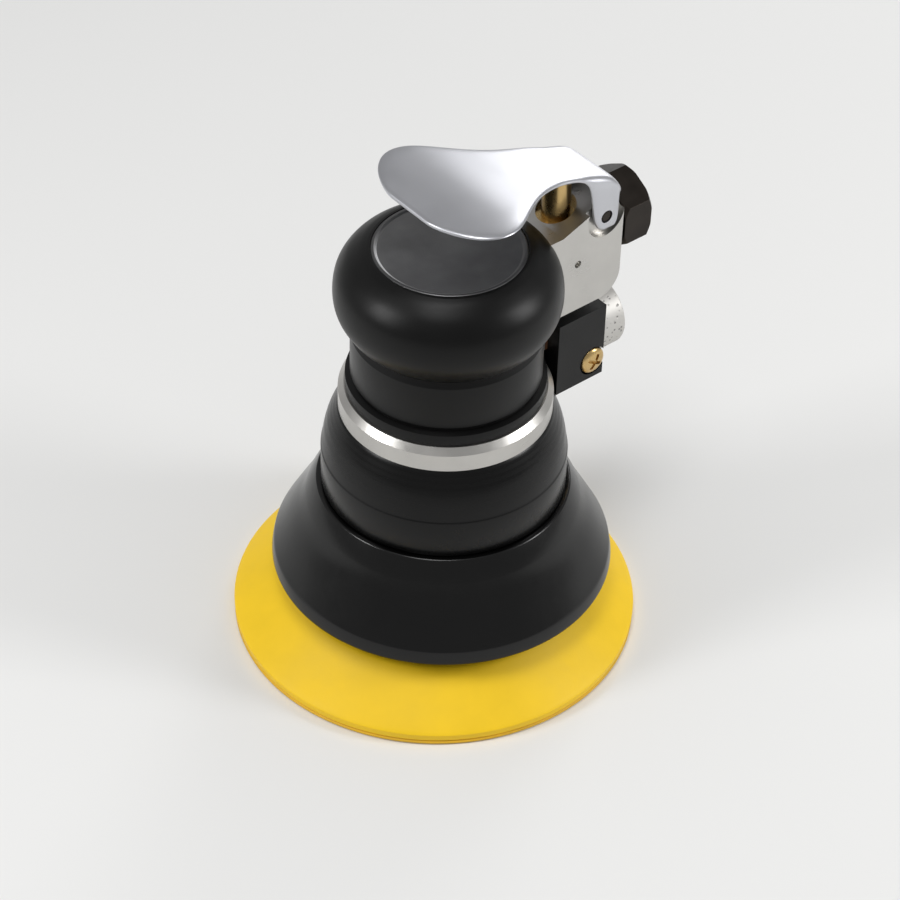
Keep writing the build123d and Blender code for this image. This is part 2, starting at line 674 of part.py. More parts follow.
def lever_plan():
    """Plan view of the lever: a broad rounded palm blade and a narrow neck."""
    tip = PIN_X - LEVER_REACH - 0.4
    half = [
        (tip, 0.0),
        (tip + 4.0, LEVER_HALF_WIDTH * 0.66),
        (tip + 15.0, LEVER_HALF_WIDTH),
        (tip + 28.0, LEVER_HALF_WIDTH * 0.74),
        (tip + 39.0, NECK_HALF_WIDTH + 1.2),
        (tip + 51.0, NECK_HALF_WIDTH),
        (PIN_X + 9.0, NECK_HALF_WIDTH),
    ]
    near = Spline(*half, tangents=[(0, 1), (1, 0)])
    far = Spline(*[(x, -y) for x, y in half], tangents=[(0, -1), (1, 0)])
    end = Line((PIN_X + 9.0, NECK_HALF_WIDTH), (PIN_X + 9.0, -NECK_HALF_WIDTH))
    return make_face([near, end, far])


def lever_ear(side):
    """Side plate that hangs from the neck and holds the pin."""
    outline = section(
        (PIN_X - 8.0, PIN_Z + 15.0),
        (PIN_X - 4.4, PIN_Z),
        ((PIN_X, PIN_Z - 4.4), (PIN_X + 4.4, PIN_Z)),
        (PIN_X + 6.0, PIN_Z + 4.8),
        (PIN_X + 5.0, PIN_Z + 8.2),
        (PIN_X + 1.4, PIN_Z + 12.2),
    )
    return slab(outline, EAR_THICKNESS / 2, side * (NECK_HALF_WIDTH - EAR_THICKNESS / 2))


def throttle_lever():
    """Palm lever: blade, neck and two ears round the hinge pin."""
    plan = Pos(0, 0, PIN_Z - 10) * extrude(lever_plan(), 60)
    blade = slab(lever_side(), 2 * LEVER_HALF_WIDTH) & plan
    body = blade + lever_ear(-1) + lever_ear(1)
    return body - across_arm(PIN_RADIUS, NECK_HALF_WIDTH + 1, PIN_X, PIN_Z)


def inlet_bushing():
    """Hexagon inlet bushing with a short spigot and the threaded air inlet."""
    flats = extrude(RegularPolygon(HEX_ACROSS_FLATS / 2, 6, major_radius=False), HEX_LENGTH)
    hexagon = Pos(BLOCK_END + 1.0, 0, HEX_Z) * Rot(0, 90, 0) * flats
    corner = HEX_ACROSS_FLATS / math.sqrt(3)
    envelope = along_arm(corner, BLOCK_END + 1.0, BLOCK_END + 1.0 + HEX_LENGTH, HEX_Z)
    hexagon = hexagon & chamfer(envelope.edges().filter_by(GeomType.CIRCLE), 1.4)
    spigot = along_arm(INLET_BORE + 1.5, BLOCK_END - 2, BLOCK_END + 2, HEX_Z)
    body = hexagon + spigot
    return body - along_arm(INLET_BORE, BLOCK_END - 3, BLOCK_END + HEX_LENGTH + 3, HEX_Z)


def inlet_seal():
    """Flat seal between the block and the bushing."""
    washer = along_arm(HEX_ACROSS_FLATS / 2 - 1, BLOCK_END, BLOCK_END + 1.0, HEX_Z)
    return washer - along_arm(INLET_BORE + 1.5, BLOCK_END - 1, BLOCK_END + 2, HEX_Z)


def inlet_screen():
    """Disc of filter mesh at the foot of the inlet."""
    return along_arm(INLET_BORE + 1.5, BLOCK_END - 3, BLOCK_END - 2, HEX_Z)


# Exhaust

def housing_envelope():
    """Outside of the ring and the lower housing, which the exhaust block fits round."""
    return turned(
        (0, SHROUD_TOP),
        (HOUSING_RADIUS + FIT, SHROUD_TOP),
        (HOUSING_RADIUS + FIT, SHROUD_TOP + 13),
        (
            (RING_RADIUS + HOUSING_STEP * 0.62 + FIT, SHROUD_TOP + 22),
            (RING_RADIUS + FIT, RING_LOW),
        ),
        (RING_RADIUS + FIT, RING_TOP),
        (0, RING_TOP),
    )


def exhaust_block():
    """Black exhaust chamber under the arm."""
    body = block(EXHAUST_X + 1, EXHAUST_END, EXHAUST_HALF_WIDTH, EXHAUST_LOW, EXHAUST_TOP)
    body = body - housing_envelope()
    body = body - along_arm(3.2, EXHAUST_X, EXHAUST_X + 8, EXHAUST_PORT_Z)
    body = body - block(EXHAUST_X + 5, EXHAUST_END - 6, 6.5, EXHAUST_LOW + 11, EXHAUST_TOP - 2.5)
    body = body - along_arm(MUFFLER_NECK, EXHAUST_END - 7, EXHAUST_END + 1, MUFFLER_Z)
    screw_y = -EXHAUST_HALF_WIDTH
    body = body - across_arm(4.9, 1.6, EXHAUST_SCREW_X, EXHAUST_SCREW_Z, screw_y)
    return body - across_arm(EXHAUST_SCREW_RADIUS, 12, EXHAUST_SCREW_X, EXHAUST_SCREW_Z, screw_y)


def exhaust_gasket():
    """Gasket between the housing's boss and the exhaust block."""
    gasket = block(EXHAUST_X, EXHAUST_X + 1, 7, RING_TOP, RING_TOP + 10)
    return gasket - along_arm(3.2, EXHAUST_X - 1, EXHAUST_X + 2, EXHAUST_PORT_Z)


def exhaust_screw():
    """Cross-head brass screw in the side of the exhaust block."""
    x = EXHAUST_SCREW_X
    head = across_arm(4.5, 1.1, x, EXHAUST_SCREW_Z, -EXHAUST_HALF_WIDTH + 0.5)
    shank = across_arm(EXHAUST_SCREW_RADIUS, 6, x, EXHAUST_SCREW_Z, -EXHAUST_HALF_WIDTH + 6)
    screw = head + shank
    for angle in (0, 90):
        place = Pos(x, -EXHAUST_HALF_WIDTH - 0.6, EXHAUST_SCREW_Z) * Rot(0, angle + 30, 0)
        screw = screw - place * Box(5.6, 1.4, 1.2)
    return screw


def exhaust_muffler():
    """Sintered muffler cup on the end of the exhaust block."""
    body = along_arm(MUFFLER_RADIUS, EXHAUST_END, EXHAUST_END + MUFFLER_LENGTH, MUFFLER_Z)
    inside = along_arm(MUFFLER_RADIUS - 2, EXHAUST_END - 1, EXHAUST_END + MUFFLER_LENGTH - 2, MUFFLER_Z)
    return body - inside


def muffler_felt():
    """Felt plug that fills the muffler."""
    return along_arm(MUFFLER_RADIUS - 2, EXHAUST_END, EXHAUST_END + MUFFLER_LENGTH - 2, MUFFLER_Z)


def build_all():
    """Every piece by name."""
    return {
        "pad_face": pad_face(),
        "pad_foam": pad_foam(),
        "pad_plate": pad_plate(),
        "pad_rivets": pad_rivets(),
        "pad_stud": pad_stud(),
        "pad_washer": pad_washer(),
        "pad_spindle": pad_spindle(),
        "spindle_washer": spindle_washer(),
        "spindle_screw": spindle_screw(),
        "spindle_bearing_lower": spindle_bearing(BEARING_LOW),
        "spindle_bearing_upper": spindle_bearing(BEARING_LOW + SPINDLE_BEARING_WIDTH),
        "spindle_retaining_ring": retaining_ring(),
        "eccentric_shaft": eccentric_shaft(),
        "rotor": rotor(),
        "rotor_vanes": vanes(),
        "rotor_key": rotor_key(),
        "cylinder_liner": cylinder_liner(),
        "cylinder_dowels": cylinder_dowels(),
        "lower_endplate": lower_endplate(),
        "lower_bearing": bearing(
            MOTOR_SHAFT,
            LOWER_BEARING_RADIUS,
            ENDPLATE_LOW,
            ENDPLATE_LOW + LOWER_BEARING_WIDTH,
        ),
        "upper_endplate": upper_endplate(),
        "upper_bearing": bearing(TAIL_SHAFT, UPPER_BEARING_RADIUS, UPPER_WEB_TOP, ENDPLATE_TOP),
        "lock_ring": lock_ring(),
        "wave_washer": wave_washer(),
        "motor_housing": motor_housing(),
        "lower_housing": lower_housing(),
        "housing_screws": housing_screws(),
        "housing_oring": housing_oring(),
        "shroud": shroud(),
        "palm_grip": palm_grip(),
        "top_cap": top_cap(),
        "throttle_sleeve": throttle_sleeve(),
        "throttle_plunger": throttle_plunger(),
        "plunger_oring": plunger_oring(),
        "throttle_spring": throttle_spring(),
        "lever_pin": lever_pin(),
        "throttle_lever": throttle_lever(),
        "inlet_bushing": inlet_bushing(),
        "inlet_seal": inlet_seal(),
        "inlet_screen": inlet_screen(),
        "exhaust_block": exhaust_block(),
        "exhaust_gasket": exhaust_gasket(),
        "exhaust_screw": exhaust_screw(),
        "exhaust_muffler": exhaust_muffler(),
        "muffler_felt": muffler_felt(),
    }


os.makedirs("parts", exist_ok=True)
for name, shape in build_all().items():
    export_step(shape, f"parts/{name}.step")
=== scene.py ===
import json
from math import cos, radians, sin

import bmesh
import bpy
from bpy.props import FloatProperty, FloatVectorProperty, PointerProperty
from bpy.types import Operator, Panel, PropertyGroup
from mathutils import Matrix, Vector


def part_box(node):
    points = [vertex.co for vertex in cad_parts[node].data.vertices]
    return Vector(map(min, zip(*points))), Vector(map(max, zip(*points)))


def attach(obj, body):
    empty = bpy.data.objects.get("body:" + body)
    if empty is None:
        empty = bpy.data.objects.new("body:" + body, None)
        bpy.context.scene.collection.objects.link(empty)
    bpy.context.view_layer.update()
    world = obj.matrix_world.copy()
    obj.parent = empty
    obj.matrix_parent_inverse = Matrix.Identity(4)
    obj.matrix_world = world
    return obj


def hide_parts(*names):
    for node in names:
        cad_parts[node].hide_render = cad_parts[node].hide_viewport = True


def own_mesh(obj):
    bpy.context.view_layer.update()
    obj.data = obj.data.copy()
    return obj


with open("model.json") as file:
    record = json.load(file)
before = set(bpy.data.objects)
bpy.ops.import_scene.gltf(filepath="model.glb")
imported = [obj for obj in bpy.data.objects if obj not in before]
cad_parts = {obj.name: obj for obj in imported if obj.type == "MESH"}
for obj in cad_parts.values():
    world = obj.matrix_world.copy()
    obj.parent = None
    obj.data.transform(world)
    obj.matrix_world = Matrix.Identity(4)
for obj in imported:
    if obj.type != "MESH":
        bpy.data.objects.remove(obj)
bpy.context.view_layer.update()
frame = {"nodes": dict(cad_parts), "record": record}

bl_info = {
    "name": "Air Palm Sander",
    "version": (1, 0, 0),
    "blender": (4, 5, 0),
    "location": "View3D > Sidebar > Sander",
    "description": "Dresses an air palm sander with finished shells, lever and materials",
    "category": "Object",
}

MM = 0.001
CLOUD_MM = 14.0                   # width of a smear of handling
GRIT_MM = 1.6                     # spacing of the muffler's pores
WAVE_TURNS = 0.3125               # rings of the wave texture to a unit of its scale
NOISE_LOW, NOISE_HIGH = 0.3, 0.7  # where most of a noise texture's values lie
TINY = 0.01 * MM                  # radius at which a turned outline closes on its axis

# Sockets of a Mix node, whose names repeat
MIX_SHARE = 0
MIX_NUMBER_A, MIX_NUMBER_B, MIX_NUMBER = 2, 3, 0
MIX_COLOUR_A, MIX_COLOUR_B, MIX_COLOUR = 6, 7, 2

# The arm's outline where it passes through the grip
ARM_HALF_WIDTH = 11.0 * MM
ARM_HEIGHT = 29.0 * MM
BOSS_HALF_WIDTH = 7.0 * MM
BOSS_HEIGHT = 10.0 * MM
SLOT_CLEARANCE = 0.05 * MM
PIN_HOLE_RADIUS = 2.1 * MM


def linear(code, alpha=1.0):
    """sRGB hex colour as linear values."""
    levels = [int(code[place:place + 2], 16) / 255 for place in (1, 3, 5)]
    flat = [v / 12.92 if v <= 0.04045 else ((v + 0.055) / 1.055) ** 2.4 for v in levels]
    return (*flat, alpha)


def colour_setting(name, description, code):
    """Colour property with its default."""
    return FloatVectorProperty(
        name=name,
        description=description,
        subtype="COLOR",
        size=4,
        min=0,
        max=1,
        default=linear(code),
    )


def length_setting(name, description, value):
    """Length property with its default in millimetres."""
    return FloatProperty(
        name=name,
        description=description,
        subtype="DISTANCE",
        unit="LENGTH",
        default=value * MM,
    )


class SanderSizes(PropertyGroup):
    """Sizes of the finished pieces."""

    shroud_wall: length_setting("Shroud wall", "Thickness of the rubber skirt", 2.3)
    shroud_lip: length_setting("Shroud lip", "Height of the skirt's upright lip", 5.6)
    grip_waist: length_setting("Grip waist", "How far the grip narrows under its rim", 0.9)
    lever_thickness: length_setting("Lever thickness", "Sheet thickness of the lever", 1.7)
    lever_half_width: length_setting("Lever half width", "Half the palm blade's width", 26.6)
    neck_half_width: length_setting("Neck half width", "Half the neck's width, at mid sheet", 10.45)
    edge_round: length_setting("Edge round", "Rounding of machined edges", 0.35)
    foam_round: length_setting("Foam round", "Rounding of the foam's rim", 1.0)


class SanderColours(PropertyGroup):
    """Colours of the finishes."""

    foam: colour_setting("Foam", "Pad's moulded foam", "#F6CB1E")
    vinyl: colour_setting("Facing", "Facing under the pad", "#E8B81A")
    rubber: colour_setting("Rubber", "Shroud and grip", "#040404")
    anodised: colour_setting("Anodised", "Lower housing", "#050505")
    chrome: colour_setting("Chrome", "Polished lever", "#C6C7CC")
    aluminium: colour_setting("Aluminium", "Machined arm and ring", "#C9C7C3")
    steel: colour_setting("Steel", "Ground and turned steel", "#A5A5A6")
    brass: colour_setting("Brass", "Plunger and screw", "#D4B57C")
    blackened: colour_setting("Blackened steel", "Inlet bushing and pin", "#3B3632")
    fibre: colour_setting("Fibre", "Vanes, gasket and washer", "#6A4428")


# Nodes and materials

def add(tree, kind, links=None, values=None, **settings):
    """Add a node with its settings, its socket values and its incoming links."""
    node = tree.nodes.new(kind)
    for name, value in settings.items():
        setattr(node, name, value)
    for name, value in (values or {}).items():
        node.inputs[name].default_value = value
    for name, socket in (links or {}).items():
        tree.links.new(socket, node.inputs[name])
    return node


def empty_material(name):
    """Material with only its output and a principled shader."""
    material = bpy.data.materials.new(name)
    material.use_nodes = True
    tree = material.node_tree
    tree.nodes.clear()
    output = add(tree, "ShaderNodeOutputMaterial")
    shader = add(tree, "ShaderNodeBsdfPrincipled")
    tree.links.new(shader.outputs[0], output.inputs["Surface"])
    return material, tree, shader


def dimmed(colour, share):
    """Share of a colour, kept opaque."""
    return (colour[0] * share, colour[1] * share, colour[2] * share, 1)


def finish(
    name,
    colour,
    metallic=0.0,
    gloss=(0.3, 0.4),
    grain_mm=1.0,
    depth_mm=0.01,
    stretch=(1, 1, 1),
    dark=0.85,
    specular=0.5,
    sheen=0.0,
    turned=False,
):
    """Worked surface: cloudy colour, uneven gloss, and a relief of grain or of turning rings."""
    material, tree, shader = empty_material(name)
    place = add(tree, "ShaderNodeTexCoord").outputs["Object"]
    if turned:
        relief = add(
            tree,
            "ShaderNodeTexWave",
            {"Vector": place},
            {"Scale": WAVE_TURNS / (grain_mm * MM), "Distortion": 0.4, "Detail": 1},
            wave_type="RINGS",
            rings_direction="Z",
        )
    else:
        drawn = add(tree, "ShaderNodeMapping", {"Vector": place}, {"Scale": stretch})
        relief = add(
            tree,
            "ShaderNodeTexNoise",
            {"Vector": drawn.outputs[0]},
            {"Scale": 1 / (grain_mm * MM), "Detail": 3, "Roughness": 0.55},
        )
    cloud = add(
        tree,
        "ShaderNodeTexNoise",
        {"Vector": place},
        {"Scale": 1 / (CLOUD_MM * MM), "Detail": 3, "Roughness": 0.55},
    )
    shade = add(
        tree,
        "ShaderNodeMapRange",
        {"Value": cloud.outputs["Fac"]},
        {"From Min": NOISE_LOW, "From Max": NOISE_HIGH},
    )
    tint = add(
        tree,
        "ShaderNodeMix",
        {MIX_SHARE: shade.outputs["Result"]},
        {MIX_COLOUR_A: dimmed(colour, dark), MIX_COLOUR_B: tuple(colour)},
        data_type="RGBA",
    )
    worn = add(
        tree,
        "ShaderNodeMix",
        {MIX_NUMBER_A: relief.outputs["Fac"], MIX_NUMBER_B: cloud.outputs["Fac"]},
        {MIX_SHARE: 0.7},
        data_type="FLOAT",
    )
    rough = add(
        tree,
        "ShaderNodeMapRange",
        {"Value": worn.outputs[MIX_NUMBER]},
        {"From Min": NOISE_LOW, "From Max": NOISE_HIGH, "To Min": gloss[0], "To Max": gloss[1]},
    )
    bump = add(
        tree,
        "ShaderNodeBump",
        {"Height": relief.outputs["Fac"]},
        {"Strength": 0.6, "Distance": depth_mm * MM},
    )
    shader.inputs["Metallic"].default_value = metallic
    shader.inputs["Specular IOR Level"].default_value = specular
    shader.inputs["Sheen Weight"].default_value = sheen
    tree.links.new(tint.outputs[MIX_COLOUR], shader.inputs["Base Color"])
    tree.links.new(rough.outputs["Result"], shader.inputs["Roughness"])
    tree.links.new(bump.outputs[0], shader.inputs["Normal"])
    return material


def polyurethane_foam(c):
    """Moulded polyurethane foam: a smooth yellow skin with faint pores and a soft sheen."""
    return finish("polyurethane_foam", c.foam, 0, (0.42, 0.56), 0.9, 0.05, dark=0.93, specular=0.3)


def vinyl_facing(c):
    """Calendered vinyl facing: a flat sheet with a leathery grain."""
    return finish("vinyl_facing", c.vinyl, 0, (0.5, 0.65), 0.7, 0.06)


def glossy_rubber(c):
    """Injection-moulded nitrile rubber: wet-looking black with broad soft highlights."""
    return finish("glossy_nitrile_rubber", c.rubber, 0, (0.16, 0.26), 1.4, 0.006, specular=0.36)


def grip_rubber(c):
    """Moulded thermoplastic rubber: satin black with a spark-eroded grain, drawn a little coarse."""
    return finish("grip_rubber", c.rubber, 0, (0.32, 0.42), 0.55, 0.02, specular=0.24)


def black_anodised(c):
    """Black anodised turned aluminium: smooth and satin, with faint turning rings."""
    return finish(
        "black_anodised_aluminium", c.anodised, 0, (0.24, 0.34), 0.9, 0.002, specular=0.24, turned=True
    )


def polished_chrome(c):
    """Barrel-polished chrome plate on pressed sheet: bright and a little milky, with faint smudges."""
    return finish("satin_chrome_plate", c.chrome, 1, (0.3, 0.38), 6.0, 0.006, dark=0.95)


def machined_aluminium(c):
    """Milled aluminium: satin with fine tool lines that run along the arm."""
    stretch = (0.06, 1, 1)
    return finish("milled_aluminium", c.aluminium, 1, (0.24, 0.4), 0.35, 0.012, stretch, 0.88)


def satin_disc(c):
    """Turned steel disc: dull satin, its grey dimmed as painted shade for the lever's shadow and dark
    reflection, with rings and smears of handling.
    """
    # painted shade: the steel is dimmed to 0.42 to stand for the lever's shadow and dark reflection on
    # the disc
    painted_shade_grey = dimmed(c.steel, 0.42)
    return finish("turned_steel_disc", painted_shade_grey, 1, (0.28, 0.4), 0.9, 0.0005, dark=0.7, turned=True)


def ground_steel(c):
    """Ground steel: bright grey with fine scratches."""
    return finish("ground_steel", c.steel, 1, (0.22, 0.36), 0.3, 0.006, (1, 1, 0.1))


def cast_iron(c):
    """Machined cast iron: darker and more open than steel."""
    return finish("machined_cast_iron", dimmed(c.steel, 0.45), 1, (0.4, 0.55), 0.5, 0.02)


def bright_spring(c):
    """Drawn spring steel: thin wire with a hard shine."""
    return finish("drawn_spring_steel", c.steel, 1, (0.16, 0.26), 0.4, 0.004)


def plain_brass(c):
    """Turned brass: warm and bright with light tarnish."""
    return finish("turned_brass", c.brass, 1, (0.2, 0.34), 1.2, 0.01, dark=0.75)


def blackened_steel(c):
    """Oil-blackened steel: brown-black with a worn satin shine."""
    return finish("oil_blackened_steel", c.blackened, 1, (0.3, 0.48), 0.9, 0.02, dark=0.6)


def black_polymer(c):
    """Glass-filled nylon: black with a slightly mottled moulded skin."""
    return finish("glass_filled_nylon", c.anodised, 0, (0.36, 0.5), 0.8, 0.02, specular=0.3)


def matt_rubber(c):
    """Matt nitrile rubber, as on seals."""
    return finish("matt_nitrile_rubber", c.rubber, 0, (0.5, 0.65), 0.6, 0.02)


def vulcanised_fibre(c):
    """Pressed fibre sheet: brown with a papery grain."""
    return finish("vulcanised_fibre", c.fibre, 0, (0.6, 0.75), 0.5, 0.03, (0.3, 1, 1), 0.7)


def glass_laminate(c):
    """Fibreglass laminate: dark plate with a fine weave-like mottle."""
    return finish("fibreglass_laminate", c.anodised, 0, (0.35, 0.5), 0.9, 0.02)


def wool_felt(c):
    """Wool felt: pale grey fibres with a soft sheen."""
    pale = dimmed(c.steel, 1.2)
    return finish("wool_felt", pale, 0, (0.85, 0.95), 0.5, 0.12, dark=0.75, sheen=0.3)


def sintered_metal(c):
    """Sintered grit: a pale pressed face with small pores whose dark is painted shade, drawn a little
    coarse.
    """
    material, tree, shader = empty_material("sintered_aluminium")
    place = add(tree, "ShaderNodeTexCoord").outputs["Object"]
    grains = add(tree, "ShaderNodeTexVoronoi", {"Vector": place}, {"Scale": 1 / (GRIT_MM * MM)})
    height = add(
        tree,
        "ShaderNodeMapRange",
        {"Value": grains.outputs["Distance"]},
        {"From Min": 0.12, "From Max": 0.3},
    )
    # painted shade: the pores take a dimmed aluminium to stand for the shade inside them; their relief
    # is the bump below
    tint = add(
        tree,
        "ShaderNodeMix",
        {MIX_SHARE: height.outputs["Result"]},
        {MIX_COLOUR_A: dimmed(c.aluminium, 0.35), MIX_COLOUR_B: tuple(c.aluminium)},
        data_type="RGBA",
    )
    bump = add(
        tree,
        "ShaderNodeBump",
        {"Height": height.outputs["Result"]},
        {"Strength": 0.7, "Distance": 0.15 * MM},
    )
    shader.inputs["Metallic"].default_value = 0.6
    shader.inputs["Roughness"].default_value = 0.5
    tree.links.new(tint.outputs[MIX_COLOUR], shader.inputs["Base Color"])
    tree.links.new(bump.outputs[0], shader.inputs["Normal"])
    return material


FINISH_OF_SLOT = {
    "machined_aluminium": machined_aluminium,
    "satin_steel": satin_disc,
    "black_anodised": black_anodised,
    "black_rubber": glossy_rubber,
    "soft_grip": grip_rubber,
    "polished_steel": polished_chrome,
    "dark_steel": blackened_steel,
    "zinc_steel": ground_steel,
    "nitrile": matt_rubber,
    "fibre": vulcanised_fibre,
    "hardened_steel": ground_steel,
    "cast_iron": cast_iron,
    "bearing_steel": bright_spring,
    "spring_steel": bright_spring,
    "brass": plain_brass,
    "black_plastic": black_polymer,
    "sintered_metal": sintered_metal,
    "felt": wool_felt,
    "fibreglass": glass_laminate,
    "yellow_foam": polyurethane_foam,
    "vinyl": vinyl_facing,
}
MADE = {}


def material_for(slot):
    """The one material of a slot, made when it is first asked for."""
    maker = FINISH_OF_SLOT[slot]
    if maker not in MADE:
        MADE[maker] = maker(bpy.context.scene.sander_colours)
    return MADE[maker]


def paint(piece, slot):
    """Give a piece one material."""
    piece.data.materials.clear()
    piece.data.materials.append(material_for(slot))


# Modelling helpers

def clear_selection():
    """Leave nothing selected, in object mode."""
    if bpy.context.object and bpy.context.object.mode != "OBJECT":
        bpy.ops.object.mode_set(mode="OBJECT")
    bpy.ops.object.select_all(action="DESELECT")


def only(piece):
    """Select one piece and make it active."""
    clear_selection()
    piece.select_set(True)
    bpy.context.view_layer.objects.active = piece


def apply_modifier(piece, kind, **settings):
    """Add a modifier, set it and apply it."""
    only(piece)
    modifier = piece.modifiers.new(kind.lower(), kind)
    for name, value in settings.items():
        setattr(modifier, name, value)
    bpy.ops.object.modifier_apply(modifier=modifier.name)


def round_edges(piece, width, segments=3, angle=28):
    """Round every hard edge."""
    apply_modifier(
        piece,
        "BEVEL",
        width=width,
        segments=segments,
        limit_method="ANGLE",
        angle_limit=radians(angle),
        harden_normals=False,
    )


def finish_piece(piece, name, body, slot, *nodes):
    """Name a piece, seat it at the origin, shade it and give it to its body."""
    only(piece)
    bpy.ops.object.transform_apply(location=True, rotation=True, scale=True)
    bpy.ops.object.shade_smooth_by_angle(angle=radians(32))
    piece.name = name
    piece.data.name = name
    paint(piece, slot)
    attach(piece, body)
    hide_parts(*nodes)
    return piece


def through(points, steps=6):
    """Smooth line through points, with a few more between each pair."""
    line = []
    for index in range(len(points) - 1):
        before = points[max(index - 1, 0)]
        start, end = points[index], points[index + 1]
        after = points[min(index + 2, len(points) - 1)]
        for step in range(steps):
            t = step / steps
            row = []
            for a, b, c, d in zip(before, start, end, after):
                slope_in, slope_out = (c - a) / 2, (d - b) / 2
                cubic = 2 * (b - c) + slope_in + slope_out
                square = 3 * (c - b) - 2 * slope_in - slope_out
                row.append(((cubic * t + square) * t + slope_in) * t + b)
            line.append(tuple(row))
    return line + [points[-1]]


def lathe(profile, centre_x=0.0, segments=144):
    """Turn a closed (radius, height) outline, in metres, into a solid."""
    clear_selection()
    radius, height = profile[0]
    bpy.ops.mesh.primitive_circle_add(
        vertices=segments, radius=radius, location=(centre_x, 0, height)
    )
    piece = bpy.context.object
    bpy.ops.object.mode_set(mode="EDIT")
    bpy.ops.mesh.select_all(action="SELECT")
    for (r0, z0), (r1, z1) in zip(profile, profile[1:] + profile[:1]):
        bpy.ops.mesh.extrude_region_move(TRANSFORM_OT_translate={"value": (0, 0, z1 - z0)})
        bpy.ops.transform.resize(value=(r1 / r0, r1 / r0, 1))
    bpy.ops.mesh.select_all(action="SELECT")
    bpy.ops.mesh.remove_doubles(threshold=0.02 * MM)
    bpy.ops.mesh.normals_make_consistent(inside=False)
    bpy.ops.object.mode_set(mode="OBJECT")
    bpy.ops.object.transform_apply(location=True)
    return piece


def cutter_box(low, high):
    """Box between two corners, for cutting."""
    clear_selection()
    middle = (Vector(low) + Vector(high)) / 2
    bpy.ops.mesh.primitive_cube_add(size=1, location=middle)
    bpy.context.object.scale = Vector(high) - Vector(low)
    bpy.ops.object.transform_apply(location=True, scale=True)
    return bpy.context.object


def cutter_rod(radius, middle, length, segments=48):
    """Cylinder that lies across the arm, for cutting."""
    clear_selection()
    bpy.ops.mesh.primitive_cylinder_add(
        vertices=segments, radius=radius, depth=length, location=middle, rotation=(radians(90), 0, 0)
    )
    bpy.ops.object.transform_apply(location=True, rotation=True)
    return bpy.context.object


def cut(piece, cutter):
    """Take one shape out of another."""
    apply_modifier(piece, "BOOLEAN", operation="DIFFERENCE", object=cutter, solver="EXACT")
    bpy.data.objects.remove(cutter)


def softened(node, width, angle=30):
    """Copy of a node with its triangles merged and its hard edges rounded."""
    clear_selection()
    source = frame["nodes"][node]
    piece = bpy.data.objects.new(node, source.data.copy())
    bpy.context.scene.collection.objects.link(piece)
    only(piece)
    bpy.ops.object.mode_set(mode="EDIT")
    bpy.ops.mesh.select_all(action="SELECT")
    bpy.ops.mesh.remove_doubles(threshold=0.002 * MM)
    bpy.ops.mesh.dissolve_limited(angle_limit=radians(0.5))
    bpy.ops.object.mode_set(mode="OBJECT")
    if width:
        round_edges(piece, width, 2, angle)
    return piece


def box_radius(node):
    """Radius of a round node about the motor axis."""
    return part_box(node)[1].y


# Operators

